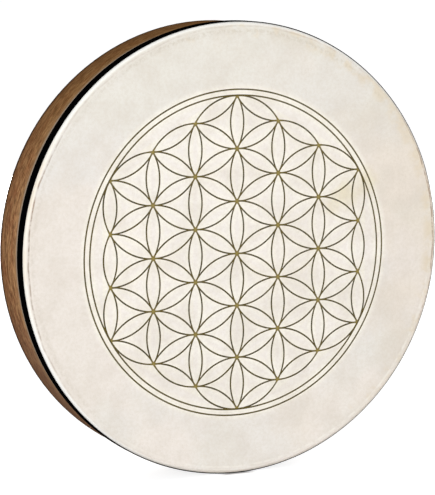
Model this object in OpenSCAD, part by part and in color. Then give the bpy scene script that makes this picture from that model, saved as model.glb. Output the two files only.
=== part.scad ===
// Frame drum for the hand. A skin is glued over the rounded edge of a laminated bent-wood shell,
// a black band covers the skin's turned-down edge, and a turned bar across the open back is the grip.
// Millimetres. The drum stands upright on its rim: its axis is Y, the head faces -Y, and the origin
// is on the axis at half depth.

/* [Shell] */
// Outside diameter of the wooden shell
shell_d = 500; // [350:1:600]
// Depth of the wooden shell from its bearing edge to its back rim
shell_depth = 77; // [65:0.5:120]
// Thickness of the outer hoop
outer_ply = 2.4; // [1.6:0.1:4]
// Thickness of the middle hoop
middle_ply = 2.4; // [1.6:0.1:4]
// Thickness of the inner hoop
inner_ply = 2.4; // [1.6:0.1:4]
// Rounding of the bearing edge outside, where the skin turns down
bearing_r = 3; // [1:0.1:4]
// Rounding of the bearing edge inside
inner_edge_r = 1; // [0.4:0.1:1.4]
// Rounding of the back rim, outside and inside
back_edge_r = 1; // [0.4:0.1:1.4]
// Width of the glue line where a hoop's two ends meet
seam_gap = 0.2; // [0.1:0.05:0.5]
// Place of the outer hoop's seam, in degrees upwards from the right seen from the front
seam_angle = -40; // [-80:1:0]

/* [Head] */
// Thickness of the skin
skin_t = 0.8; // [0.4:0.1:1.5]
// How far the skin shows behind the band before it is trimmed
skin_tail = 7; // [0.2:0.1:12]

/* [Band] */
// Width of the band along the shell
band_w = 15; // [8:0.5:30]
// Thickness of the band
band_t = 1; // [0.4:0.1:1.5]
// Distance from the end of the skin's rounded turn to the band
band_gap = 0.2; // [0.1:0.1:4]
// Rounding of the band's outer edges
band_edge_r = 0.3; // [0.1:0.05:0.35]
// Width of the seam where the band's two ends meet
band_seam = 0.3; // [0.1:0.05:1]
// Place of the band's seam, in degrees upwards from the right seen from the front
band_seam_angle = -75; // [-88:1:-40]

/* [Grip bar] */
// Side of the square stock that the bar is turned from
stock_w = 30; // [24:1:36]
// Chamfer along the bar's four square edges
stock_chamfer = 2; // [0.5:0.1:4]
// How far the back of the bar lies inside the back rim
back_inset = 6; // [2:0.5:12]
// Length of the turned barrel that the hand holds
barrel_len = 150; // [90:1:200]
// How much the lathe takes off the stock's side at the barrel's middle
turning_cut = 0.8; // [0.4:0.1:2]
// Diameter of the barrel at its two ends
barrel_end_d = 24; // [18:0.5:25]
// Radius of the cove that runs from the barrel's end up to the square stock
shoulder_r = 36; // [14:1:60]

/* [Blocks] */
// Width of a block across the drum
block_w = 84; // [60:1:120]
// Height of a block at its middle, from the shell towards the drum's centre
block_h = 34; // [28:1:50]
// Thickness of a block along the drum's axis
block_d = 20; // [18:1:26]
// Radius of the cove cut in each side of a block
cove_r = 20; // [6:1:22]
// Chamfer along a block's edge that faces the head and the centre
block_chamfer = 4; // [1:0.5:8]
// Glue film between a block and the shell
glue_film = 0.1; // [0.05:0.05:0.3]
// Clearance at the ends and shoulders of the bar
lap_clear = 0.2; // [0.1:0.05:0.4]

/* [Screws] */
// Shank diameter of a screw
screw_d = 4; // [3:0.5:5]
// Head diameter of a screw
screw_head_d = 8; // [6:0.5:10]
// Length of a screw from its head to its point
screw_len = 30; // [22:1:32]
// Distance between the two screws in each lap
screw_pitch = 16; // [10:1:18]
// How far a screw's head lies below the bar
screw_sink = 0.3; // [0.1:0.1:1]
// Clearance round a screw
screw_clear = 0.1; // [0.05:0.05:0.3]
// Length of the screw's point
screw_tip = 6; // [3:0.5:8]
// Length across the cross recess in a screw's head
cross_len = 4.4; // [3:0.1:5]
// Width of the cross recess's arms
cross_w = 0.9; // [0.5:0.1:1.4]
// Depth of the cross recess
cross_depth = 1.6; // [0.8:0.1:2]

/* [Hidden] */
$fn = 180;

wood_stain = [0.50, 0.34, 0.22];
wood_core = [0.72, 0.57, 0.40];
grip_wood = [0.60, 0.42, 0.26];
skin_colour = [0.92, 0.90, 0.86];
band_colour = [0.05, 0.05, 0.05];
steel_colour = [0.70, 0.70, 0.72];

// A cutter reaches this far past the face that it cuts
overcut = 1;

// Radii of the hoops' faces, from outside to inside
shell_r = shell_d / 2;
core_out_r = shell_r - outer_ply;
core_in_r = core_out_r - middle_ply;
shell_in_r = core_in_r - inner_ply;
wall = shell_r - shell_in_r;
back_round = min(back_edge_r, 0.8 * outer_ply, 0.8 * inner_ply);

// Places along the drum's axis, from the head's face to the back rim
total_depth = skin_t + shell_depth;
face_y = -total_depth / 2;
bearing_y = face_y + skin_t;
back_y = total_depth / 2;
band_front_y = bearing_y + bearing_r + band_gap;
band_back_y = band_front_y + band_w;
skin_end_y = band_back_y + skin_tail;
band_round = min(band_edge_r, 0.45 * band_t);

// The three seams are spread evenly round the shell, so that no two weaken it in one place
seam_step = 120;

// The bar lies along Z, and half its thickness is lapped onto the blocks at each end
bar_y = back_y - back_inset - stock_w / 2;
bar_back_y = bar_y + stock_w / 2;
block_in_z = shell_in_r - block_h;
shoulder_z = block_in_z - lap_clear;
barrel_r = stock_w / 2 - turning_cut;
barrel_swell = barrel_r - barrel_end_d / 2;
barrel_arc_r = (pow(barrel_len / 2, 2) + pow(barrel_swell, 2)) / (2 * barrel_swell);
barrel_steps = 6;
barrel_curve = [
    for (step = [0 : barrel_steps])
        let (z = barrel_len / 2 * step / barrel_steps)
            [barrel_r - barrel_arc_r + sqrt(pow(barrel_arc_r, 2) - pow(z, 2)), z]
];

// The screws stand on the middle line of each lap
screw_zs = [for (end = [-1, 1], side = [-1, 1]) end * (block_in_z + block_h / 2 + side * screw_pitch / 2)];

// Turns a shape made round Z so that its axis is the drum's axis, with its top towards the back
module on_drum_axis() rotate([-90, 0, 0]) children();

// What a fillet of radius r takes off a square corner; out points away from the material
module corner_waste(corner, out, r)
    translate([corner.x - out.x * r, corner.y - out.y * r])
        mirror([out.x < 0 ? 1 : 0, 0])
            mirror([0, out.y < 0 ? 1 : 0])
                difference() {
                    square(r + overcut);
                    circle(r);
                }

// Half section of the whole laminated wall, with its rounded bearing edge and back rim
module shell_section() difference() {
    translate([shell_in_r, bearing_y]) square([wall, shell_depth]);
    corner_waste([shell_r, bearing_y], [1, -1], bearing_r);
    corner_waste([shell_in_r, bearing_y], [-1, -1], inner_edge_r);
    corner_waste([shell_r, back_y], [1, 1], back_round);
    corner_waste([shell_in_r, back_y], [-1, 1], back_round);
}

// A section bent round the drum's axis until its two ends meet, with a gap between them
module bent_ring(mid_r, gap, angle) {
    gap_angle = 180 * gap / (PI * mid_r);
    on_drum_axis()
        rotate([0, 0, gap_angle / 2 - angle])
            rotate_extrude(angle = 360 - gap_angle) children();
}

// One layer of the wall, with a glue line where its ends meet
module hoop(in_r, out_r, angle)
    bent_ring((in_r + out_r) / 2, seam_gap, angle)
        intersection() {
            shell_section();
            translate([in_r, bearing_y]) square([out_r - in_r, shell_depth]);
        }

module shell_outer_hoop() color(wood_stain) hoop(core_out_r, shell_r, seam_angle);

module shell_middle_hoop() color(wood_core) hoop(core_in_r, core_out_r, seam_angle + seam_step);

module shell_inner_hoop() color(wood_stain) hoop(shell_in_r, core_in_r, seam_angle + 2 * seam_step);

// Half section of a plug with a rounded front edge, which gives each face of the skin
module capped_section(r, front_y, edge_r, end_y) difference() {
    translate([0, front_y]) square([r, end_y - front_y]);
    corner_waste([r, front_y], [1, -1], edge_r);
}

// The skin: flat over the opening, turned over the bearing edge, and glued down outside the shell
module drum_head() color(skin_colour)
    on_drum_axis()
        rotate_extrude()
            difference() {
                capped_section(shell_r + skin_t, face_y, bearing_r + skin_t, skin_end_y);
                capped_section(shell_r, bearing_y, bearing_r, skin_end_y + overcut);
            }

// The band: a flat tape wrapped once round the glued skin, its ends butted
module edge_band() color(band_colour)
    bent_ring(shell_r + skin_t + band_t / 2, band_seam, band_seam_angle)
        difference() {
            translate([shell_r + skin_t, band_front_y]) square([band_t, band_w]);
            corner_waste([shell_r + skin_t + band_t, band_front_y], [1, -1], band_round);
            corner_waste([shell_r + skin_t + band_t, band_back_y], [1, 1], band_round);
        }

// Half of the bar's turned profile: the swelling barrel, and the cove that rises to the square stock
module half_turning() {
    polygon(concat([[0, 0]], barrel_curve, [[0, barrel_len / 2]]));
    difference() {
        translate([0, barrel_len / 2]) square([stock_w, (shell_d - barrel_len) / 2]);
        translate([barrel_end_d / 2 + shoulder_r, barrel_len / 2]) circle(shoulder_r);
    }
}

// Square section of the bar's stock with its chamfered edges
module stock_section() {
    half = stock_w / 2;
    flat = half - stock_chamfer;
    polygon([
        [half, -flat], [half, flat], [flat, half], [-flat, half],
        [-half, flat], [-half, -flat], [-flat, -half], [flat, -half]
    ]);
}

// A countersunk screw's outline, head upwards at the origin, grown by a clearance
module screw_body(clear) {
    head_r = screw_head_d / 2 + clear;
    shank_r = screw_d / 2 + clear;
    rotate_extrude()
        polygon([
            [0, 0], [head_r, 0], [shank_r, shank_r - head_r],
            [shank_r, screw_tip - screw_len], [0, -screw_len - clear]
        ]);
}

module at_screws()
    for (z = screw_zs)
        translate([0, bar_back_y - screw_sink, z]) on_drum_axis() children();

// The hole that a screw passes through, open to the bar's back
module screw_hole() {
    screw_body(screw_clear);
    cylinder(r = screw_head_d / 2 + screw_clear, h = screw_sink + overcut);
}

module grip_bar() color(grip_wood)
    difference() {
        intersection() {
            translate([0, bar_y, 0])
                intersection() {
                    rotate_extrude() {
                        half_turning();
                        mirror([0, 1]) half_turning();
                    }
                    linear_extrude(height = shell_d, center = true) stock_section();
                }
            on_drum_axis() cylinder(r = shell_in_r - lap_clear, h = 2 * shell_depth, center = true);
        }
        for (end = [0, 1])
            mirror([0, 0, end])
                translate([-stock_w, bar_y - stock_w, shoulder_z]) cube([2 * stock_w, stock_w, block_h + overcut]);
        at_screws() screw_hole();
    }

// A block seen from the front: shell curve outside, coved sides, flat seat towards the centre
module block_outline() difference() {
    intersection() {
        circle(shell_in_r - glue_film);
        translate([-block_w / 2, block_in_z]) square([block_w, block_h]);
    }
    for (side = [-1, 1])
        translate([side * block_w / 2, block_in_z]) circle(cove_r);
}

// A block seen from its end: square, with the chamfer towards the head and the centre
module block_side() polygon([
    [bar_y, block_in_z], [bar_y, shell_r], [bar_y - block_d, shell_r],
    [bar_y - block_d, block_in_z + block_chamfer], [bar_y - block_d + block_chamfer, block_in_z]
]);

module block() intersection() {
    translate([0, bar_y, 0]) rotate([90, 0, 0]) linear_extrude(height = block_d) block_outline();
    rotate([90, 0, 90]) linear_extrude(height = block_w + overcut, center = true) block_side();
}

module upper_block() color(grip_wood)
    difference() {
        block();
        at_screws() screw_hole();
    }

module lower_block() color(grip_wood)
    difference() {
        mirror([0, 0, 1]) block();
        at_screws() screw_hole();
    }

module grip_screws() color(steel_colour)
    at_screws()
        difference() {
            screw_body(0);
            for (turn = [45, 135])
                rotate([0, 0, turn])
                    translate([-cross_len / 2, -cross_w / 2, -cross_depth])
                        cube([cross_len, cross_w, cross_depth + overcut]);
        }

shell_outer_hoop();
shell_middle_hoop();
shell_inner_hoop();
drum_head();
edge_band();
grip_bar();
upper_block();
lower_block();
grip_screws();
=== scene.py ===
"""Shaman drum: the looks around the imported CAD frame. Metres, in the CAD's own frame.

The drum stands on its rim. Its axis is Y, the head faces -Y and the back is open.
"""
import math
from collections import namedtuple

import bpy
from mathutils import Matrix, Vector, noise


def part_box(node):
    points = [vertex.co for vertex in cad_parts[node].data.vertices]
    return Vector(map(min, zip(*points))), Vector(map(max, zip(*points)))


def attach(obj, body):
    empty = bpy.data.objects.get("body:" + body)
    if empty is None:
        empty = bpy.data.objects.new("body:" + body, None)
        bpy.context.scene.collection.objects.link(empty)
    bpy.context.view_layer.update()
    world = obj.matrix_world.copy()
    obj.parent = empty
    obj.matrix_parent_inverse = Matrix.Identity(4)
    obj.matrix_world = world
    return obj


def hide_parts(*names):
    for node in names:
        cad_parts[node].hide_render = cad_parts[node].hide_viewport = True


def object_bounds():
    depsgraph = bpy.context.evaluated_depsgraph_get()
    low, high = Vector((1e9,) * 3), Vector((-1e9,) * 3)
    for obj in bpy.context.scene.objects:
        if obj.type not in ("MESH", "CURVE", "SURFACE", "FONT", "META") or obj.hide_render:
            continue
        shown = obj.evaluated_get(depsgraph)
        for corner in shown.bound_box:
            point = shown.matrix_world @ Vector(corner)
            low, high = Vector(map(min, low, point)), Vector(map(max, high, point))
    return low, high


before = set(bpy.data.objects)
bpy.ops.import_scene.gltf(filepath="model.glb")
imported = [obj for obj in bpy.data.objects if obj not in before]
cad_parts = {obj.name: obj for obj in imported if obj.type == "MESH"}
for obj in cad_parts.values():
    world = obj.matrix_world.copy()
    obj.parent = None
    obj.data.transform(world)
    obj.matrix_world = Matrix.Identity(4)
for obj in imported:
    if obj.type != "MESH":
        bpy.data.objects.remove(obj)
cad_low, cad_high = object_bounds()

MM = 0.001

# Places read from the frame
head_low, head_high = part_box("drum_head")
shell_low, shell_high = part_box("shell_outer_hoop")
band_low, band_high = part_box("edge_band")
FACE_Y = head_low.y
SKIN_END_Y = head_high.y
BEARING_Y = shell_low.y
BACK_Y = shell_high.y
SHELL_R = shell_high.z
SKIN_R = head_high.z
SKIN_T = SKIN_R - SHELL_R
BAND_R = band_high.z
BAND_T = BAND_R - SKIN_R
BAND_BACK_Y = band_high.y

# Photograph: its size and focal length in pixels, the view's direction and distance, and how far to the right
# of and above the view's middle the printed pattern's centre lies
PHOTO_SIZE = (435, 495)
FOCAL_PIXELS = 2391
VIEW_AZIMUTH = math.radians(-24.8)
VIEW_ELEVATION = math.radians(7.6)
VIEW_DISTANCE = 2.638
VIEW_OFFSET = (21.6 * MM, -6.6 * MM)

# Camera's sensor, in the millimetres that Blender takes it in
SENSOR = 36.0

# Printed pattern: six-fold lattice of circles in a hexagon, inside two rings
LATTICE_STEP = 58.1 * MM
LATTICE_SIDE = 3
CIRCLE_R = LATTICE_STEP + 0.14 * MM
PRINT_CENTRE = (-1.1 * MM, -3.9 * MM)
PRINT_POINT = Vector((PRINT_CENTRE[0], FACE_Y, PRINT_CENTRE[1]))
RING_RADII = (174.7 * MM, 181.2 * MM)
TURNS = 6
TURN = 2 * math.pi / TURNS
ARC_STEPS = 24
RING_STEPS = 60

# Ink: widths of its lines, how they thin and swell near a crossing, and how golden they turn there
LINE_WIDTH = 1.74 * MM
RING_WIDTH = 1.70 * MM
INK_GAIN = 0.55
GAIN_REACH = 6.5 * MM
INK_THIN = 0.20
THIN_REACH = 15.0 * MM
GOLD_REACH = 15.0 * MM
GOLD_SPOT = 5.0 * MM
GOLD_TAIL = 0.30
RING_GOLD = 0.10

# Ink's height over the skin: strips that cross lie in layers of their own, so that no two share a plane
INK_BASE = 0.05 * MM
INK_STEP = 0.004 * MM
INK_LAYERS = 7
LAYERS_A_ROW = 3

# Skin's form: how far its face lies inside the CAD face, its bend, its skirt and its knife-cut tail
SKIN_SINK = 0.10 * MM
BEARING_ROUND = 3.0 * MM
TAIL_UNDER_BAND = 1.5 * MM
TAIL_FROM_Y = BAND_BACK_Y - TAIL_UNDER_BAND
SKIN_CHAMFER = 0.25 * MM

# Waves of the skin's face and of its cut, as (scale, layer of the noise, share), and the groove at the rim
WAVE_HEIGHT = 0.05 * MM
FACE_WAVES = ((28.0, 3.7, 1.0), (75.0, 9.1, 0.5))
FLAT_FROM_R = 225.0 * MM
FLAT_FADE = 18.0 * MM
TRIM_WAVE = 1.2 * MM
TRIM_MEAN = 0.5
TRIM_WAVES = ((4.0, 1.3, 0.4), (30.0, 7.9, 0.15))
GROOVE_R = 245.6 * MM
GROOVE_DEPTH = 0.10 * MM
GROOVE_WIDTH = 0.8 * MM

# Skin's mesh: steps round the drum, rings on its face (finer near the rim), round its bend and inside
SKIN_STEPS = 288
COARSE_RINGS = 46
FINE_RINGS = 24
FINE_FROM = 235.0 * MM
BEND_RINGS = 10
INNER_RINGS = 12

# Zones of the skin's colour, each from one end of a change to the other: across the head, on a slant
# towards its lower right, and by height
LEFT_X = (-220.0 * MM, -80.0 * MM)
RIGHT_X = (-150.0 * MM, 150.0 * MM)
LOW_RIGHT = (-50.0 * MM, 150.0 * MM)
TOP_Z = (60.0 * MM, 200.0 * MM)
LOW_Z = (-20.0 * MM, -200.0 * MM)

# The same by depth, by distance from the axis or the print's centre, and beside a printed line
FRONT_END_Y = (FACE_Y + 0.50 * MM, FACE_Y + 0.65 * MM)
FLESH_END_R = (245.0 * MM, 246.0 * MM)
FIELD_END_R = (181.5 * MM, 189.5 * MM)
CREAM_REACH = (1.5 * MM, 7.0 * MM)

# Distance from the printed lines: where the hexagon of circles ends, how far off a line then counts as
# being, and a distance to start the search with
HEXAGON_END = (157.0 * MM, 163.0 * MM)
NO_LINE_NEAR = 10.0 * MM
FAR_AWAY = 1.0

# Yellow stain: x and z of its spots, their reach and their depth of colour, its core and its ragged edge
STAIN_SPOTS = (
    (134.0 * MM, 57.0 * MM, 25.0 * MM, 0.48),
    (160.0 * MM, 72.0 * MM, 19.0 * MM, 0.44),
    (114.0 * MM, 44.0 * MM, 14.0 * MM, 0.32),
)
STAIN_CORE = 12.0 * MM
STAIN_RAGGED = 24.0 * MM

# Rim of the skin: radii and heights of its tanned zone, its fuzz, and its bend with a painted highlight high
# and low
TANNED_R = (230.0 * MM, 242.0 * MM)
FUZZ_START_R = (236.0 * MM, 241.0 * MM)
FUZZ_END_R = (242.0 * MM, 244.5 * MM)
FUZZ_Z = (80.0 * MM, 245.0 * MM)
BEND_R = (246.8 * MM, 250.0 * MM)
BEND_HIGHLIGHT_TOP_Z = (80.0 * MM, 170.0 * MM)
BEND_HIGHLIGHT_LOW_Z = (20.0 * MM, -100.0 * MM)

# Pale ridge: its radius, and where it fades beside that and by height
RIDGE_R = 243.7 * MM
RIDGE_SIDE = (0.4 * MM, 1.8 * MM)
RIDGE_Z = (-150.0 * MM, 50.0 * MM)

# Soiled line: its radius from the far left to the far right, its sag low down and its wandering
SOIL_X = (-245.0 * MM, 245.0 * MM)
SOIL_R = (246.1 * MM, 247.2 * MM)
SOIL_SAG = 1.1 * MM
SOIL_SAG_Z = (0.0, -150.0 * MM)
SOIL_WANDER = 7.0 * MM

# Where the soiled line fades: beside its radius, low down, and away from the drum's middle height
SOIL_SIDE = (0.2 * MM, 1.3 * MM)
SOIL_LOW_Z = (-100.0 * MM, 60.0 * MM)
SOIL_FADE_Z = (50.0 * MM, 170.0 * MM)

# Tape: place and width of the seam where its ends meet, its play on the skin, and its steps round the drum
TAPE_SEAM = math.radians(-75)
TAPE_GAP = 0.3 * MM
TAPE_PLAY = 0.02 * MM
TAPE_STEPS = 360

# Tape's section: lengthwise ribs and selvedges, with heights as shares of its thickness, and its threads
TAPE_RIBS = 9
RIB_STEPS = 4
RIB_HEIGHT = 0.025
TAPE_BODY = 0.95
FRONT_SELVEDGE = 0.10
BACK_SELVEDGE = 0.08
SELVEDGE_WIDTH = 0.9 * MM
THREAD_PITCH = 0.9 * MM

# Shell's stain and painted shade: heights where it is olive and grey, tints that also paint shade high and
# low, how far it is lighter beside the skin, and where painted shade and dark stain darken the back edge
OLIVE_AND_SHADE_Z = (40.0 * MM, 200.0 * MM)
GREY_AND_SHADE_Z = (-20.0 * MM, -160.0 * MM)
LIGHTER_FRONT_REACH = 16.0 * MM
DARK_EDGE_Y = (BACK_Y - 8.0 * MM, BACK_Y - 1.5 * MM)

# Wood's grain: how much finer its pores are than its bands, and its streaks' scale, a base plus a share
# of the bands' scale
PORES_FINER = 5
STREAK_BASE = 95.0
STREAK_SHARE = 0.62

# Heights of fine relief: hide fibres, the tape's weave and the wood's grain
FIBRE_RELIEF = 0.08 * MM
WEAVE_RELIEF = 0.06 * MM
WOOD_RELIEF = 0.10 * MM

# Floor: half its size, its colour, its glow from near to far, and the painted contact shadow under the drum
FLOOR_HALF = 60.0
FLOOR_GREY = (0.5, 0.5, 0.5, 1.0)
GLOW_REACH = (0.3, 2.5)
GLOW_NEAR = 0.80
GLOW_FAR = 0.92
CONTACT_SHADOW_X = (6.0 * MM, 26.0 * MM)
CONTACT_SHADOW_Y = (36.0 * MM, 46.0 * MM)

# Light: its colour, the share of the sky that lights the drum, and softboxes as (name, place, size, watts)
WHITE = (1.0, 1.0, 1.0, 1.0)
SKY_SHARE = 0.25
SOFTBOXES = (
    ("key_softbox", (-2.6, -2.2, 0.6), 1.6, 80.0),
    ("fill_softbox", (1.7, -3.0, 0.5), 1.8, 48.0),
    ("back_softbox", (0.9, 3.0, 0.5), 1.6, 95.0),
)

# Noise patterns: scale per metre, levels of detail and roughness. Noise has its middle at NOISE_MEAN
NOISE_MEAN = 0.5
FIBRES = (260.0, 3.0, 0.6)
FLECKS = (900.0, 2.0, 0.5)
STAIN_EDGE = (45.0, 3.0, 0.6)
RIM_FUZZ = (230.0, 4.0, 0.7)
RIDGE_DOTS = (170.0, 3.0, 0.6)
SOIL_BENDS = (14.0, 3.0, 0.6)
TAIL_PATCHES = (120.0, 3.0, 0.6)
INK_PATCHES = (140.0, 3.0, 0.6)
TAPE_LINT = (480.0, 2.0, 0.6)
TURNING_MARKS = (700.0, 2.0, 0.6)

# Cloud patterns: place in the noise, then as above
HIDE_CLOUDS = ((3.1, 0.0, 0.4), 16.0, 4.0, 0.6)
COOL_CLOUDS = ((0.7, 5.2, 1.9), 8.0, 3.0, 0.5)
GREEN_CLOUDS = ((6.3, 1.2, 4.4), 13.0, 3.0, 0.5)
WARM_CLOUDS = ((2.4, 7.7, 8.1), 9.0, 4.0, 0.55)
MOTTLING = ((5.5, 3.3, 2.2), 36.0, 4.0, 0.55)
RIM_WEAR = ((1.5, 2.6, 9.3), 50.0, 4.0, 0.6)
BEND_PATCHES = ((4.2, 8.0, 3.6), 70.0, 3.0, 0.6)
SOIL_GAPS = ((8.8, 0.0, 1.1), 78.0, 4.0, 0.65)

# Patches on the flesh side: scales per metre on X, Y and Z
FLESH_SCALES = (30.0, 30.0, 44.0)

# A point on a surface: its object coordinates, its distance from the drum's axis, and its x, y and z
Spot = namedtuple("Spot", "place radius x y z")

# Ink strips as they are drawn: mesh points, faces, and how golden each point is
Ink = namedtuple("Ink", "points faces gold")


def srgb(red, green, blue):
    """A colour given as 0 to 255 display values, as the linear value that shaders take."""
    def linear(value):
        share = value / 255
        return share / 12.92 if share <= 0.04045 else ((share + 0.055) / 1.055) ** 2.4
    return (linear(red), linear(green), linear(blue), 1.0)


def shaded(colour, share):
    """A colour made darker or lighter by a share."""
    return tuple(min(1.0, share * value) for value in colour[:3]) + (1.0,)


# Small helpers for node materials

def feed(tree, target, inputs):
    """Sets a node's inputs, or links them where the value is another node's socket."""
    for key, value in inputs.items():
        if isinstance(value, bpy.types.NodeSocket):
            tree.links.new(value, target.inputs[key])
        else:
            target.inputs[key].default_value = value


def node(tree, kind, inputs=None, **settings):
    """Adds a node, sets its options, and sets or links its inputs."""
    made = tree.nodes.new(kind)
    for name, value in settings.items():
        setattr(made, name, value)
    feed(tree, made, inputs or {})
    return made


def calc(tree, operation, first, *others):
    """A calculation with one value, or one that takes in further values in turn."""
    if not others:
        return node(tree, "ShaderNodeMath", {0: first}, operation=operation).outputs[0]
    result = first
    for other in others:
        result = node(tree, "ShaderNodeMath", {0: result, 1: other}, operation=operation).outputs[0]
    return result


def apart(tree, first, second):
    """How far apart two values are."""
    return calc(tree, "ABSOLUTE", calc(tree, "SUBTRACT", first, second))


def vector_calc(tree, operation, *inputs, result="Vector"):
    """A calculation with vectors: the vector that it gives, or another of its results by name."""
    made = node(tree, "ShaderNodeVectorMath", dict(enumerate(inputs)), operation=operation)
    return made.outputs[result]


def vector_measure(tree, operation, *inputs):
    """A calculation with vectors that gives a number."""
    return vector_calc(tree, operation, *inputs, result="Value")


def blend(tree, factor, first, second):
    """First where the factor is 0, second where it is 1."""
    made = node(tree, "ShaderNodeMix", {0: factor, 6: first, 7: second}, data_type="RGBA")
    return made.outputs[2]


def spread(tree, value, low, high, to_low=0.0, to_high=1.0, smooth=True):
    """Maps low..high to to_low..to_high and stops at the ends."""
    made = node(
        tree, "ShaderNodeMapRange",
        {"Value": value, "From Min": low, "From Max": high, "To Min": to_low, "To Max": to_high},
        interpolation_type="SMOOTHSTEP" if smooth else "LINEAR", clamp=True,
    )
    return made.outputs["Result"]


def moved(tree, vector, scale=(1.0, 1.0, 1.0), offset=(0.0, 0.0, 0.0)):
    """A vector scaled and shifted."""
    made = node(tree, "ShaderNodeMapping", {"Vector": vector, "Scale": scale, "Location": offset})
    return made.outputs["Vector"]


def grain(tree, vector, scale, detail, roughness, distortion=0.0):
    """Noise between 0 and 1."""
    made = node(
        tree, "ShaderNodeTexNoise", {
            "Vector": vector, "Scale": scale, "Detail": detail,
            "Roughness": roughness, "Distortion": distortion,
        },
    )
    return made.outputs["Fac"]


def clouds(tree, vector, offset, scale, detail, roughness):
    """Grain taken from a place of its own in the noise, so that no two patterns are alike."""
    return grain(tree, moved(tree, vector, offset=offset), scale, detail, roughness)


def bump(tree, height, distance, strength):
    """A surface direction tilted by a pattern of heights."""
    made = node(tree, "ShaderNodeBump", {"Height": height, "Distance": distance, "Strength": strength})
    return made.outputs["Normal"]


def empty_tree(owner):
    """The node tree of a material or world, with nothing in it."""
    owner.use_nodes = True
    owner.node_tree.nodes.clear()
    return owner.node_tree


def new_material(name):
    """A material with one Principled shader: (material, tree, shader, object coordinates)."""
    made = bpy.data.materials.new(name)
    tree = empty_tree(made)
    shader = node(tree, "ShaderNodeBsdfPrincipled")
    node(tree, "ShaderNodeOutputMaterial", {"Surface": shader.outputs["BSDF"]})
    place = node(tree, "ShaderNodeTexCoord").outputs["Object"]
    return made, tree, shader, place


def find_spot(tree, place):
    """The Spot at some object coordinates."""
    split = node(tree, "ShaderNodeSeparateXYZ", {"Vector": place})
    x = split.outputs["X"]
    z = split.outputs["Z"]
    square = calc(tree, "ADD", calc(tree, "MULTIPLY", x, x), calc(tree, "MULTIPLY", z, z))
    return Spot(place, calc(tree, "SQRT", square), x, split.outputs["Y"], z)


# Skin material

def hide_colour(tree, spot):
    """Bleached hide: ivory, with painted shade at the left, greenish at the top and paler low down, with
    clouds.
    """
    ivory = clouds(tree, spot.place, *HIDE_CLOUDS)
    colour = blend(tree, ivory, srgb(242, 233, 226), srgb(239, 232, 225))
    # Painted shade: the hide is darker at the left
    left = spread(tree, spot.x, *LEFT_X, 0.5, 0.0)
    colour = blend(tree, left, colour, srgb(233, 226, 217))
    # Cool and greenish clouds lie mostly high and low on the head, warm ones mostly on its right
    height = calc(tree, "MULTIPLY", calc(tree, "ABSOLUTE", spot.z), 0.8)
    height = calc(tree, "ADD", height, calc(tree, "MULTIPLY", spot.z, 0.2))
    cool = calc(tree, "ADD", clouds(tree, spot.place, *COOL_CLOUDS), height)
    colour = blend(tree, spread(tree, cool, 0.50, 0.68, 0.0, 0.75), colour, srgb(231, 228, 224))
    green = calc(tree, "ADD", clouds(tree, spot.place, *GREEN_CLOUDS), height)
    colour = blend(tree, spread(tree, green, 0.56, 0.72, 0.0, 0.5), colour, srgb(232, 229, 221))
    top = spread(tree, spot.z, *TOP_Z, 0.0, 0.40)
    colour = blend(tree, top, colour, srgb(234, 230, 218))
    side = calc(tree, "MULTIPLY", spot.x, 0.9)
    warm = calc(tree, "ADD", clouds(tree, spot.place, *WARM_CLOUDS), side)
    colour = blend(tree, spread(tree, warm, 0.50, 0.78, 0.0, 0.48), colour, srgb(231, 219, 201))
    low = spread(tree, spot.z, *LOW_Z, 0.0, 0.34)
    return blend(tree, low, colour, srgb(246, 240, 231))


def off_print(tree, place):
    """Distance from the nearest printed line, found by folding the lattice into a quarter of its cell."""
    cell = LATTICE_STEP * Vector((math.sqrt(3), 0.0, 1.0))
    centred = vector_calc(tree, "SUBTRACT", place, PRINT_POINT)
    folded = vector_calc(tree, "ABSOLUTE", vector_calc(tree, "WRAP", centred, cell / 2, -cell / 2))
    # Circles that pass through the quarter cell, by their centres as shares of the cell
    lattice = FAR_AWAY
    for across, up in ((0.0, 1.0), (0.5, -0.5), (1.0, 0.0), (-0.5, 0.5)):
        middle = (across * cell.x, 0.0, up * cell.z)
        off_circle = apart(tree, vector_measure(tree, "DISTANCE", folded, middle), CIRCLE_R)
        lattice = calc(tree, "MINIMUM", lattice, off_circle)
    # Outside the hexagon of printed circles there is no lattice line
    hexagon = 0.0
    for turn in range(TURNS // 2):
        normal = (math.cos(TURN * turn), 0.0, math.sin(TURN * turn))
        reach = calc(tree, "ABSOLUTE", vector_measure(tree, "DOT_PRODUCT", centred, normal))
        hexagon = calc(tree, "MAXIMUM", hexagon, reach)
    nearest = calc(tree, "MAXIMUM", lattice, spread(tree, hexagon, *HEXAGON_END, 0.0, NO_LINE_NEAR))
    radius = vector_measure(tree, "LENGTH", centred)
    for ring in RING_RADII:
        nearest = calc(tree, "MINIMUM", nearest, apart(tree, radius, ring))
    return nearest


def field_colour(tree, spot, front, colour):
    """Adds the printed field: lighter than the bare hide, and creamier beside its lines."""
    from_centre = vector_measure(tree, "DISTANCE", spot.place, PRINT_POINT)
    field = calc(tree, "MULTIPLY", front, spread(tree, from_centre, *FIELD_END_R, 0.80, 0.0))
    between = spread(tree, off_print(tree, spot.place), *CREAM_REACH, smooth=False)
    return blend(tree, field, colour, blend(tree, between, srgb(254, 249, 236), srgb(247, 241, 234)))


def stain_colour(tree, spot, colour):
    """Adds the yellow stain, of three spots with a ragged edge, at the right of the field."""
    ragged = calc(tree, "MULTIPLY", grain(tree, spot.place, *STAIN_EDGE), STAIN_RAGGED)
    for x, z, reach, depth in STAIN_SPOTS:
        away = vector_measure(tree, "DISTANCE", spot.place, (x, FACE_Y, z))
        away = calc(tree, "ADD", away, ragged)
        soaked = spread(tree, away, STAIN_CORE, STAIN_CORE + reach, depth, 0.0)
        colour = blend(tree, soaked, colour, srgb(221, 208, 164))
    return colour


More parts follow.
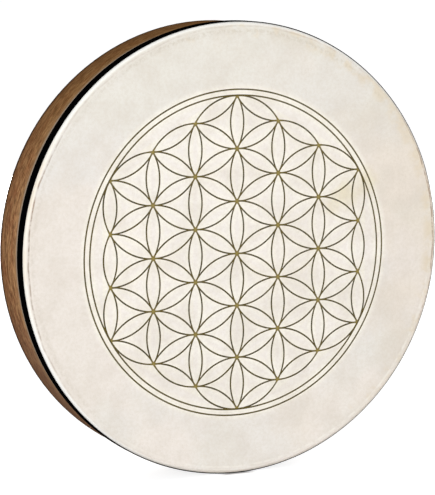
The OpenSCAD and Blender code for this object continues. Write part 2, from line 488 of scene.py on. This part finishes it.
def flesh_colour(tree, spot, front, colour):
    """Adds the flesh side within the drum, which is left patchy and yellower."""
    patches = grain(tree, moved(tree, spot.place, FLESH_SCALES), 1.0, 6.0, 0.62)
    flesh = blend(tree, spread(tree, patches, 0.34, 0.70), srgb(240, 230, 210), srgb(219, 202, 172))
    behind = spread(tree, front, 0.0, 1.0, 0.7, 0.0)
    within = calc(tree, "MULTIPLY", behind, spread(tree, spot.radius, *FLESH_END_R, 1.0, 0.0))
    return blend(tree, within, colour, flesh)


def rim_wear(tree, spot, low_right, colour):
    """Adds wear near the rim: tanned skin, fuzz at the top and left, a pale ridge at the lower right."""
    # Handling has tanned the right side most
    handled = calc(tree, "ADD", calc(tree, "MULTIPLY", spot.x, 0.8), calc(tree, "MULTIPLY", spot.z, 0.35))
    worn = calc(tree, "ADD", clouds(tree, spot.place, *RIM_WEAR), handled)
    worn = spread(tree, worn, 0.60, 0.78, 0.0, 0.55)
    tanned = calc(tree, "MULTIPLY", spread(tree, spot.radius, *TANNED_R), worn)
    colour = blend(tree, tanned, colour, srgb(226, 210, 182))
    fuzz = calc(
        tree, "MULTIPLY",
        spread(tree, grain(tree, spot.place, *RIM_FUZZ), 0.40, 0.64, 0.0, 0.50),
        spread(tree, spot.radius, *FUZZ_START_R),
        spread(tree, spot.radius, *FUZZ_END_R, 1.0, 0.0),
    )
    high = spread(tree, spot.z, *FUZZ_Z)
    left = spread(tree, spot.x, *LEFT_X, 0.60, 0.20)
    fuzz = calc(tree, "MULTIPLY", fuzz, calc(tree, "MAXIMUM", high, left))
    right = spread(tree, spot.x, *RIGHT_X)
    colour = blend(tree, fuzz, colour, blend(tree, right, srgb(200, 190, 173), srgb(203, 193, 171)))
    ridge = calc(
        tree, "MULTIPLY",
        spread(tree, apart(tree, spot.radius, RIDGE_R), *RIDGE_SIDE, 0.40, 0.0),
        low_right,
        spread(tree, spot.z, *RIDGE_Z, 1.0, 0.1),
        spread(tree, grain(tree, spot.place, *RIDGE_DOTS), 0.36, 0.60),
    )
    return blend(tree, ridge, colour, srgb(255, 250, 241))


def bend_colour_and_light(tree, spot, low_right, colour):
    """Adds the bend: patchy cream, with a painted highlight in white high and low, and painted shade in
    grey-tan at the lower right.
    """
    patchy = clouds(tree, spot.place, *BEND_PATCHES)
    bend = blend(tree, spread(tree, patchy, 0.36, 0.64), srgb(250, 243, 230), srgb(243, 232, 214))
    # Painted highlight: the bend turns white high up and low down
    bend = blend(tree, spread(tree, spot.z, *BEND_HIGHLIGHT_TOP_Z), bend, srgb(255, 254, 249))
    bend = blend(tree, spread(tree, spot.z, *BEND_HIGHLIGHT_LOW_Z), bend, srgb(255, 254, 250))
    # Painted shade: the bend turns grey-tan at the lower right
    bend = blend(tree, low_right, bend, srgb(228, 219, 207))
    return blend(tree, spread(tree, spot.radius, *BEND_R, 0.0, 0.92), colour, bend)


def soil_colour(tree, spot, colour):
    """Adds the soiled line over the bearing edge: it wanders, further out at the right and low down."""
    wander = calc(tree, "SUBTRACT", grain(tree, spot.place, *SOIL_BENDS), NOISE_MEAN)
    wandering = calc(tree, "ADD", spot.radius, calc(tree, "MULTIPLY", wander, SOIL_WANDER))
    line_r = spread(tree, spot.x, *SOIL_X, *SOIL_R, smooth=False)
    line_r = calc(tree, "ADD", line_r, spread(tree, spot.z, *SOIL_SAG_Z, 0.0, SOIL_SAG))
    # It is broken, and fainter towards the top and the bottom
    gaps = clouds(tree, spot.place, *SOIL_GAPS)
    line = calc(
        tree, "MULTIPLY",
        spread(tree, apart(tree, wandering, line_r), *SOIL_SIDE, 1.0, 0.0),
        spread(tree, gaps, 0.40, 0.58, 0.18, 1.0),
        spread(tree, spot.z, *SOIL_LOW_Z, 0.60, 1.0),
        spread(tree, calc(tree, "ABSOLUTE", spot.z), *SOIL_FADE_Z, 1.0, 0.20),
    )
    return blend(tree, line, colour, srgb(166, 144, 126))


def rim_colour(tree, spot, colour):
    """Adds all that shows near the skin's rim."""
    # Slant is the distance from the drum's middle towards the lower right
    slant = calc(tree, "SUBTRACT", calc(tree, "MULTIPLY", spot.x, 0.8), calc(tree, "MULTIPLY", spot.z, 0.6))
    low_right = spread(tree, slant, *LOW_RIGHT)
    colour = rim_wear(tree, spot, low_right, colour)
    colour = bend_colour_and_light(tree, spot, low_right, colour)
    return soil_colour(tree, spot, colour)


def skin_material():
    """Scraped, bleached hide with a printed field, a yellow stain, fine grain and a worn rim."""
    made, tree, shader, place = new_material("hide")
    spot = find_spot(tree, place)
    front = spread(tree, spot.y, *FRONT_END_Y, 1.0, 0.0)
    colour = field_colour(tree, spot, front, hide_colour(tree, spot))
    mottle = clouds(tree, place, *MOTTLING)
    colour = blend(tree, spread(tree, mottle, 0.34, 0.70, 0.0, 0.30), colour, srgb(212, 202, 189))
    colour = stain_colour(tree, spot, colour)
    colour = flesh_colour(tree, spot, front, colour)
    fibres = grain(tree, place, *FIBRES)
    colour = blend(tree, spread(tree, fibres, 0.36, 0.66, 0.0, 0.16), colour, srgb(205, 192, 170))
    flecks = grain(tree, place, *FLECKS)
    colour = blend(tree, spread(tree, flecks, 0.60, 0.76, 0.0, 0.30), colour, srgb(196, 182, 160))
    relief = calc(tree, "ADD", calc(tree, "MULTIPLY", fibres, 0.7), calc(tree, "MULTIPLY", flecks, 0.3))
    feed(tree, shader, {
        "Base Color": rim_colour(tree, spot, colour),
        "Roughness": spread(tree, fibres, 0.3, 0.7, 0.50, 0.62),
        "Specular IOR Level": 0.06,
        "Normal": bump(tree, relief, FIBRE_RELIEF, 0.5),
    })
    return made


# Other materials

def tail_material():
    """The hide's cut edge that shows behind the band: it has taken up stain and glue, and is painted paler as
    a sheen.
    """
    made, tree, shader, place = new_material("hide_edge")
    patches = grain(tree, place, *TAIL_PATCHES)
    fibres = grain(tree, place, *FIBRES)
    feed(tree, shader, {
        # Painted sheen: the stained edge's colours are made paler
        "Base Color": blend(tree, patches, srgb(170, 148, 126), srgb(198, 178, 156)),
        "Roughness": spread(tree, fibres, 0.3, 0.7, 0.50, 0.62),
        "Specular IOR Level": 0.0,
        "Normal": bump(tree, fibres, FIBRE_RELIEF, 0.5),
    })
    return made


def ink_material():
    """Screen-printed ink: dark olive lines that turn golden where they cross."""
    made, tree, shader, place = new_material("print_ink")
    gold = node(tree, "ShaderNodeAttribute", attribute_name="gold").outputs["Fac"]
    uneven = grain(tree, place, *INK_PATCHES)
    line = blend(tree, spread(tree, uneven, 0.3, 0.7), srgb(52, 42, 0), srgb(74, 61, 0))
    feed(tree, shader, {
        "Base Color": blend(tree, gold, line, srgb(140, 123, 60)),
        "Roughness": spread(tree, uneven, 0.3, 0.7, 0.45, 0.6),
        "Specular IOR Level": 0.3,
    })
    return made


def band_material():
    """Black woven tape: fine cross weave round the drum, with a little lint."""
    made, tree, shader, place = new_material("black_tape")
    spot = find_spot(tree, place)
    arc = calc(tree, "MULTIPLY", calc(tree, "ARCTAN2", spot.z, spot.x), BAND_R)
    thread = 2 * math.pi / THREAD_PITCH
    warp = calc(tree, "SINE", calc(tree, "MULTIPLY", arc, thread))
    weft = calc(tree, "SINE", calc(tree, "MULTIPLY", spot.y, thread))
    weave = calc(tree, "MULTIPLY", warp, weft)
    lint = spread(tree, grain(tree, place, *TAPE_LINT), 0.68, 0.82, 0.0, 0.5)
    shade = blend(tree, spread(tree, weave, -1.0, 1.0), srgb(2, 2, 2), srgb(7, 7, 8))
    feed(tree, shader, {
        "Base Color": blend(tree, lint, shade, srgb(40, 38, 38)),
        "Roughness": 0.85,
        "Specular IOR Level": 0.0,
        "Normal": bump(tree, weave, WEAVE_RELIEF, 0.6),
    })
    return made


def shell_stain_and_shade(tree, spot, dark, edge_shade, colour):
    """Adds the shell's stain and painted shade: olive and darker high up, greyer and darker low down, lighter
    beside the skin, darker towards the back, dark at the back edge.
    """
    # Painted shade: the olive and grey tints also darken the shell high and low
    olive = spread(tree, spot.z, *OLIVE_AND_SHADE_Z, 0.0, 0.42)
    colour = blend(tree, olive, colour, srgb(122, 90, 36))
    grey = spread(tree, spot.z, *GREY_AND_SHADE_Z, 0.0, 0.62)
    colour = blend(tree, grey, colour, srgb(130, 104, 88))
    # Lighter beside the skin and darker towards the back
    thin = spread(tree, spot.y, SKIN_END_Y, SKIN_END_Y + LIGHTER_FRONT_REACH, 0.36, 0.0)
    colour = blend(tree, thin, colour, srgb(176, 146, 108))
    darker_back = spread(tree, spot.y, SKIN_END_Y, BACK_Y, 0.0, 0.58, smooth=False)
    colour = blend(tree, darker_back, colour, dark)
    # Painted shade and dark stain at the back edge
    edge = spread(tree, spot.y, *DARK_EDGE_Y, 0.0, edge_shade)
    return blend(tree, edge, colour, srgb(38, 24, 15))


def wood_material(name, across, along, dark, red, gold, lively, roughness, gloss, edge_shade=0.0):
    """Wood. across and along are the scales per metre, on X, Y and Z, of its bands and of its patches.

    lively is the strength of its streaks, and edge_shade is how dark a shell's back edge is, as painted shade
    and stain.
    """
    made, tree, shader, place = new_material(name)
    patches = grain(tree, moved(tree, place, along), 1.0, 3.0, 0.55, 0.4)
    colour = blend(tree, spread(tree, patches, 0.36, 0.64), red, gold)
    bands = grain(tree, moved(tree, place, across, (4.0, 1.0, 2.0)), 1.0, 5.0, 0.62, 0.5)
    colour = blend(tree, spread(tree, bands, 0.44, 0.70, 0.0, 0.65), colour, dark)
    pore_scales = [scale * PORES_FINER for scale in across]
    pore = grain(tree, moved(tree, place, pore_scales), 1.0, 3.0, 0.6)
    pore = spread(tree, pore, 0.54, 0.72, 0.0, 0.55)
    colour = blend(tree, pore, colour, shaded(dark, 0.5))
    streak_scales = [STREAK_BASE + STREAK_SHARE * scale for scale in across]
    streaks = grain(tree, moved(tree, place, streak_scales, (2.0, 6.0, 1.0)), 1.0, 4.0, 0.72)
    colour = blend(tree, spread(tree, streaks, 0.51, 0.62, 0.0, lively), colour, dark)
    colour = blend(tree, spread(tree, streaks, 0.38, 0.48, lively, 0.0), colour, shaded(gold, 1.3))
    if edge_shade:
        colour = shell_stain_and_shade(tree, find_spot(tree, place), dark, edge_shade, colour)
    relief = calc(tree, "SUBTRACT", bands, pore)
    feed(tree, shader, {
        "Base Color": colour,
        "Roughness": spread(tree, bands, 0.3, 0.7, roughness - 0.06, roughness + 0.08),
        "Specular IOR Level": gloss,
        "Normal": bump(tree, relief, WOOD_RELIEF, 0.35),
    })
    return made


def steel_material():
    """Bright zinc plate with fine turning marks."""
    made, tree, shader, place = new_material("zinc_steel")
    marks = grain(tree, place, *TURNING_MARKS)
    feed(tree, shader, {
        "Base Color": blend(tree, marks, srgb(150, 150, 154), srgb(200, 200, 203)),
        "Metallic": 1.0,
        "Roughness": spread(tree, marks, 0.3, 0.7, 0.28, 0.45),
    })
    return made


# Geometry

def make_object(name, points, faces, material, smooth=True):
    """A mesh object in the scene."""
    mesh = bpy.data.meshes.new(name)
    mesh.from_pydata(points, [], faces)
    mesh.validate()
    mesh.polygons.foreach_set("use_smooth", [smooth] * len(mesh.polygons))
    mesh.materials.append(material)
    made = bpy.data.objects.new(name, mesh)
    bpy.context.scene.collection.objects.link(made)
    return made


def skin_wave(x, z):
    """How far the skin's face dips inwards at a place on the head."""
    radius = math.hypot(x, z)
    wave = 0.0
    for scale, layer, share in FACE_WAVES:
        wave += share * noise.noise(Vector((x * scale, layer, z * scale)))
    fade = 1.0 - min(1.0, max(0.0, (radius - FLAT_FROM_R) / FLAT_FADE))
    groove = math.exp(-((radius - GROOVE_R) / GROOVE_WIDTH) ** 2)
    return WAVE_HEIGHT * (wave + 1.0) * fade + GROOVE_DEPTH * groove


def trim(angle):
    """How far short of the CAD skirt's end the knife has cut at an angle round the drum."""
    cut = TRIM_MEAN
    for scale, layer, share in TRIM_WAVES:
        cut += share * noise.noise(Vector((scale * math.cos(angle), scale * math.sin(angle), layer)))
    return TRIM_WAVE * cut


def face_radii():
    """Radii of the rings of points on the skin's face: close together near the rim."""
    coarse = [FINE_FROM * (step + 1) / COARSE_RINGS for step in range(COARSE_RINGS)]
    reach = SHELL_R - BEARING_ROUND - FINE_FROM
    return coarse + [FINE_FROM + reach * (step + 1) / FINE_RINGS for step in range(FINE_RINGS)]


def skin_profile():
    """The skin's section as (radius, y): from the front's middle to the skirt, and back inside."""
    flat_r = SHELL_R - BEARING_ROUND
    round_r = BEARING_ROUND + SKIN_T
    centre_y = FACE_Y + round_r
    outer = [(radius, FACE_Y + SKIN_SINK) for radius in face_radii()]
    for step in range(1, BEND_RINGS + 1):
        angle = math.pi / 2 * step / BEND_RINGS
        radius = round_r - SKIN_SINK * (1 - step / BEND_RINGS)
        outer.append((flat_r + radius * math.sin(angle), centre_y - radius * math.cos(angle)))
    outer.append((SKIN_R, TAIL_FROM_Y))
    outer.append((SKIN_R, SKIN_END_Y - SKIN_CHAMFER))
    outer.append((SKIN_R - SKIN_CHAMFER, SKIN_END_Y))
    inside = [(SHELL_R, SKIN_END_Y)]
    for step in range(BEND_RINGS, -1, -1):
        angle = math.pi / 2 * step / BEND_RINGS
        inside.append((flat_r + BEARING_ROUND * math.sin(angle), centre_y - BEARING_ROUND * math.cos(angle)))
    inside += [(flat_r * step / INNER_RINGS, BEARING_Y) for step in range(INNER_RINGS - 1, 0, -1)]
    return outer + inside


def make_skin(material, tail):
    """The skin as one closed sheet, with its tail behind the band in a material of its own."""
    rings = skin_profile()
    points = [(0.0, FACE_Y + SKIN_SINK + skin_wave(0.0, 0.0), 0.0)]
    for index, (radius, y) in enumerate(rings):
        for step in range(SKIN_STEPS):
            angle = 2 * math.pi * step / SKIN_STEPS
            x = radius * math.cos(angle)
            z = radius * math.sin(angle)
            dip = skin_wave(x, z) if index < COARSE_RINGS + FINE_RINGS else 0.0
            if y > BAND_BACK_Y:
                dip = -trim(angle)
            points.append((x, y + dip, z))
    points.append((0.0, BEARING_Y, 0.0))
    last = len(points) - 1
    faces = []
    for step in range(SKIN_STEPS):
        after = (step + 1) % SKIN_STEPS
        faces.append((0, 1 + step, 1 + after))
        for ring in range(len(rings) - 1):
            here = 1 + ring * SKIN_STEPS
            there = here + SKIN_STEPS
            faces.append((here + step, there + step, there + after, here + after))
        end = 1 + (len(rings) - 1) * SKIN_STEPS
        faces.append((end + step, last, end + after))
    made = make_object("drum_skin", points, faces, material)
    made.data.materials.append(tail)
    for face in made.data.polygons:
        if face.center.y > TAIL_FROM_Y:
            face.material_index = 1
    return made


def tape_section():
    """The tape's section as (radius, y): flat inside, and ribbed outside with thicker selvedges."""
    width = band_high.y - band_low.y
    inside = SKIN_R + TAPE_PLAY
    section = [(inside, 0.0), (inside, width)]
    steps = TAPE_RIBS * RIB_STEPS
    for step in range(steps + 1):
        share = step / steps
        edge = min(share, 1.0 - share) * width
        rib = RIB_HEIGHT * BAND_T * math.cos(2 * math.pi * step / RIB_STEPS)
        selvedge = FRONT_SELVEDGE if share > 0.5 else BACK_SELVEDGE
        rise = BAND_T * (TAPE_BODY + selvedge * math.exp(-(edge / SELVEDGE_WIDTH) ** 2)) + rib
        section.append((SKIN_R + rise, width * (1.0 - share)))
    return section


def make_tape(material):
    """The woven tape, wrapped once round until its ends meet."""
    section = tape_section()
    count = len(section)
    gap = TAPE_GAP / (2 * BAND_R)
    points = []
    for step in range(TAPE_STEPS + 1):
        angle = TAPE_SEAM + gap + (2 * math.pi - 2 * gap) * step / TAPE_STEPS
        for radius, y in section:
            points.append((radius * math.cos(angle), band_low.y + y, radius * math.sin(angle)))
    faces = []
    for step in range(TAPE_STEPS):
        here = step * count
        there = here + count
        for corner in range(count):
            after = (corner + 1) % count
            faces.append((there + corner, there + after, here + after, here + corner))
    faces.append(tuple(range(count)))
    faces.append(tuple(TAPE_STEPS * count + corner for corner in range(count - 1, -1, -1)))
    return make_object("woven_tape", points, faces, material)


def lattice_point(column, row):
    """Centre of one lattice circle in the head's plane, from its two lattice counts."""
    x = PRINT_CENTRE[0] + LATTICE_STEP * math.sqrt(3) / 2 * column
    z = PRINT_CENTRE[1] + LATTICE_STEP * (row + column / 2)
    return x, z


def in_hexagon(column, row):
    """Whether a lattice point is inside the printed hexagon."""
    return max(abs(column), abs(row), abs(column + row)) <= LATTICE_SIDE


def circle_runs():
    """Each unbroken run of arcs: (lattice counts of its circle's centre, first turn, number of arcs)."""
    neighbours = [(1, 0), (0, 1), (-1, 1), (-1, 0), (0, -1), (1, -1)]
    runs = []
    reach = range(-LATTICE_SIDE - 1, LATTICE_SIDE + 2)
    for column in reach:
        for row in reach:
            printed = [in_hexagon(column + across, row + up) for across, up in neighbours]
            drawn = [printed[turn] and printed[(turn + 1) % TURNS] for turn in range(TURNS)]
            if all(drawn):
                runs.append(((column, row), 0, TURNS))
                continue
            for turn in range(TURNS):
                if drawn[turn] and not drawn[turn - 1]:
                    arcs = 1
                    while drawn[(turn + arcs) % TURNS]:
                        arcs += 1
                    runs.append(((column, row), turn, arcs))
    return runs


def gold_share(away):
    """How golden the ink is at a distance from a crossing: a bright spot with a long faint tail."""
    spot = max(0.0, 1.0 - away / GOLD_SPOT)
    tail = max(0.0, 1.0 - away / GOLD_REACH)
    return (1.0 - GOLD_TAIL) * spot + GOLD_TAIL * tail


def ink_swell(away):
    """A line's width, as a share, at a distance from a crossing: it thins out and then fills the crossing."""
    gain = INK_GAIN * max(0.0, 1.0 - away / GAIN_REACH)
    thin = INK_THIN * max(0.0, 1.0 - away / THIN_REACH)
    return 1.0 + gain - thin


def add_ribbon(ink, centre, radius, start, arcs, steps, top, width, crossed):
    """Adds a thin strip of ink along a run of arcs, half soaked into the skin.

    A crossed strip is crossed at each end of an arc. It swells and turns golden there.
    """
    first = len(ink.points)
    closed = arcs == TURNS
    sections = arcs * steps
    stations = sections if closed else sections + 1
    corners = ((-0.5, -top), (-0.5, top), (0.5, top), (0.5, -top))
    count = len(corners)
    for station in range(stations):
        angle = start + TURN * station / steps
        into = station % steps
        away = min(into, steps - into) / steps * TURN * radius
        swell = ink_swell(away) if crossed else 1.0
        for offset, lift in corners:
            reach = radius + offset * width * swell
            x = centre[0] + reach * math.cos(angle)
            z = centre[1] + reach * math.sin(angle)
            ink.points.append((x, FACE_Y + SKIN_SINK + skin_wave(x, z) - lift, z))
            ink.gold.append(gold_share(away) if crossed else RING_GOLD)
    for section in range(sections):
        here = first + count * section
        there = first + count * ((section + 1) % stations)
        for side in range(count):
            after = (side + 1) % count
            ink.faces.append((here + side, here + after, there + after, there + side))
    if not closed:
        last = first + count * (stations - 1)
        ink.faces.append(tuple(first + corner for corner in range(count - 1, -1, -1)))
        ink.faces.append(tuple(last + corner for corner in range(count)))


def make_print(material):
    """The printed lattice of circles and its two rings, as strips of ink."""
    ink = Ink([], [], [])
    for (column, row), turn, arcs in circle_runs():
        layer = (column + LAYERS_A_ROW * row) % INK_LAYERS
        top = INK_BASE + INK_STEP * layer
        # Crossings lie half a step round the circle from the x axis
        start = TURN * (turn + 0.5)
        add_ribbon(ink, lattice_point(column, row), CIRCLE_R, start, arcs, ARC_STEPS, top, LINE_WIDTH, True)
    for index, radius in enumerate(RING_RADII):
        top = INK_BASE + INK_STEP * (INK_LAYERS + index)
        add_ribbon(ink, PRINT_CENTRE, radius, 0.0, TURNS, RING_STEPS, top, RING_WIDTH, False)
    made = make_object("flower_print", ink.points, ink.faces, material, smooth=False)
    attribute = made.data.attributes.new("gold", "FLOAT", "POINT")
    attribute.data.foreach_set("value", ink.gold)
    return made


# Stage, light and camera

def seen_share(tree):
    """1 for rays from the camera, also by way of a mirror or clear material, and 0 for those that light."""
    path = node(tree, "ShaderNodeLightPath")
    rays = [path.outputs[kind] for kind in ("Is Camera Ray", "Is Glossy Ray", "Is Transmission Ray")]
    return calc(tree, "MAXIMUM", *rays)


def make_floor():
    """A white floor that glows, keeps the drum's shadow, and has a painted contact shadow where the drum
    stands.
    """
    made = bpy.data.materials.new("studio_floor")
    tree = empty_tree(made)
    place = node(tree, "ShaderNodeTexCoord").outputs["Object"]
    spot = find_spot(tree, place)
    away = vector_measure(tree, "DISTANCE", place, (0.0, 0.0, cad_low.z))
    # Painted contact shadow: the glow goes dark in a patch under the drum, where it stands on the floor
    beside = spread(tree, calc(tree, "ABSOLUTE", spot.x), *CONTACT_SHADOW_X)
    before = spread(tree, calc(tree, "ABSOLUTE", spot.y), *CONTACT_SHADOW_Y)
    strength = calc(
        tree, "MULTIPLY",
        seen_share(tree),
        spread(tree, away, *GLOW_REACH, GLOW_NEAR, GLOW_FAR),
        calc(tree, "MAXIMUM", beside, before),
    )
    diffuse = node(tree, "ShaderNodeBsdfDiffuse", {"Color": FLOOR_GREY})
    glow = node(tree, "ShaderNodeEmission", {"Color": WHITE, "Strength": strength})
    both = node(tree, "ShaderNodeAddShader", {0: diffuse.outputs[0], 1: glow.outputs[0]})
    node(tree, "ShaderNodeOutputMaterial", {"Surface": both.outputs[0]})
    signs = ((-1, -1), (1, -1), (1, 1), (-1, 1))
    corners = [(FLOOR_HALF * x, FLOOR_HALF * y, cad_low.z) for x, y in signs]
    floor = make_object("studio_floor", corners, [(0, 1, 2, 3)], made, smooth=False)


def make_world():
    """A white sky that lights the drum with a share of its brightness."""
    world = bpy.data.worlds.new("studio")
    bpy.context.scene.world = world
    tree = empty_tree(world)
    strength = spread(tree, seen_share(tree), 0.0, 1.0, SKY_SHARE, 1.0, smooth=False)
    sky = node(tree, "ShaderNodeBackground", {"Color": WHITE, "Strength": strength})
    node(tree, "ShaderNodeOutputWorld", {"Surface": sky.outputs[0]})


def add_softbox(name, place, diameter, power):
    """A round area light that faces the drum's middle."""
    light = bpy.data.lights.new(name, "AREA")
    light.shape = "DISK"
    light.size = diameter
    light.energy = power
    made = bpy.data.objects.new(name, light)
    bpy.context.scene.collection.objects.link(made)
    made.location = place
    made.rotation_mode = "QUATERNION"
    made.rotation_quaternion = (-Vector(place)).to_track_quat("-Z", "Y")


def make_camera():
    """The photograph's camera, placed from the printed pattern's centre."""
    back = Vector((
        math.sin(VIEW_AZIMUTH) * math.cos(VIEW_ELEVATION),
        -math.cos(VIEW_AZIMUTH) * math.cos(VIEW_ELEVATION),
        math.sin(VIEW_ELEVATION),
    ))
    right = Vector((math.cos(VIEW_AZIMUTH), math.sin(VIEW_AZIMUTH), 0.0))
    up = back.cross(right)
    data = bpy.data.cameras.new("photo_camera")
    data.sensor_fit = "AUTO"
    data.sensor_width = SENSOR
    data.lens = FOCAL_PIXELS * SENSOR / max(PHOTO_SIZE)
    made = bpy.data.objects.new("photo_camera", data)
    bpy.context.scene.collection.objects.link(made)
    place = PRINT_POINT - VIEW_OFFSET[0] * right - VIEW_OFFSET[1] * up + VIEW_DISTANCE * back
    turn = Matrix((right, up, back)).transposed().to_4x4()
    made.matrix_world = Matrix.Translation(place) @ turn
    bpy.context.scene.camera = made


def dress(node_name, material):
    """Gives a CAD node a finished material."""
    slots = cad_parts[node_name].data.materials
    slots.clear()
    slots.append(material)


# CAD nodes: stained hoops round a paler core, an oiled grip with its blocks, and screws
hoop_across = (18.0, 420.0, 18.0)
hoop_along = (50.0, 105.0, 50.0)
grip_across = (300.0, 300.0, 9.0)
grip_along = (60.0, 60.0, 8.0)
block_across = (9.0, 300.0, 300.0)
block_along = (8.0, 60.0, 60.0)
grip_colours = (srgb(112, 72, 42), srgb(152, 102, 62), srgb(180, 134, 86))
stained = wood_material(
    "stained_shell", hoop_across, hoop_along, srgb(96, 64, 43), srgb(164, 110, 74), srgb(187, 141, 97),
    lively=0.80, roughness=0.85, gloss=0.0, edge_shade=0.90,
)
core = wood_material(
    "shell_core", hoop_across, hoop_along, srgb(128, 92, 58), srgb(164, 118, 78), srgb(186, 148, 104),
    lively=0.50, roughness=0.8, gloss=0.1, edge_shade=0.3,
)
grip = wood_material(
    "oiled_grip", grip_across, grip_along, *grip_colours,
    lively=0.25, roughness=0.45, gloss=0.35,
)
block_wood = wood_material(
    "oiled_block", block_across, block_along, *grip_colours,
    lively=0.25, roughness=0.5, gloss=0.35,
)
steel = steel_material()
dress("shell_outer_hoop", stained)
dress("shell_inner_hoop", stained)
dress("shell_middle_hoop", core)
dress("grip_bar", grip)
dress("upper_block", block_wood)
dress("lower_block", block_wood)
dress("grip_screws", steel)

# Pieces modelled here: the skin, the tape and the print
skin = make_skin(skin_material(), tail_material())
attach(skin, "root")
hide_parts("drum_head")

tape = make_tape(band_material())
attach(tape, "root")
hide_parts("edge_band")

flower = make_print(ink_material())
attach(flower, "root")

make_floor()
make_world()
for softbox in SOFTBOXES:
    add_softbox(*softbox)
make_camera()
bpy.context.scene.view_settings.view_transform = "Standard"
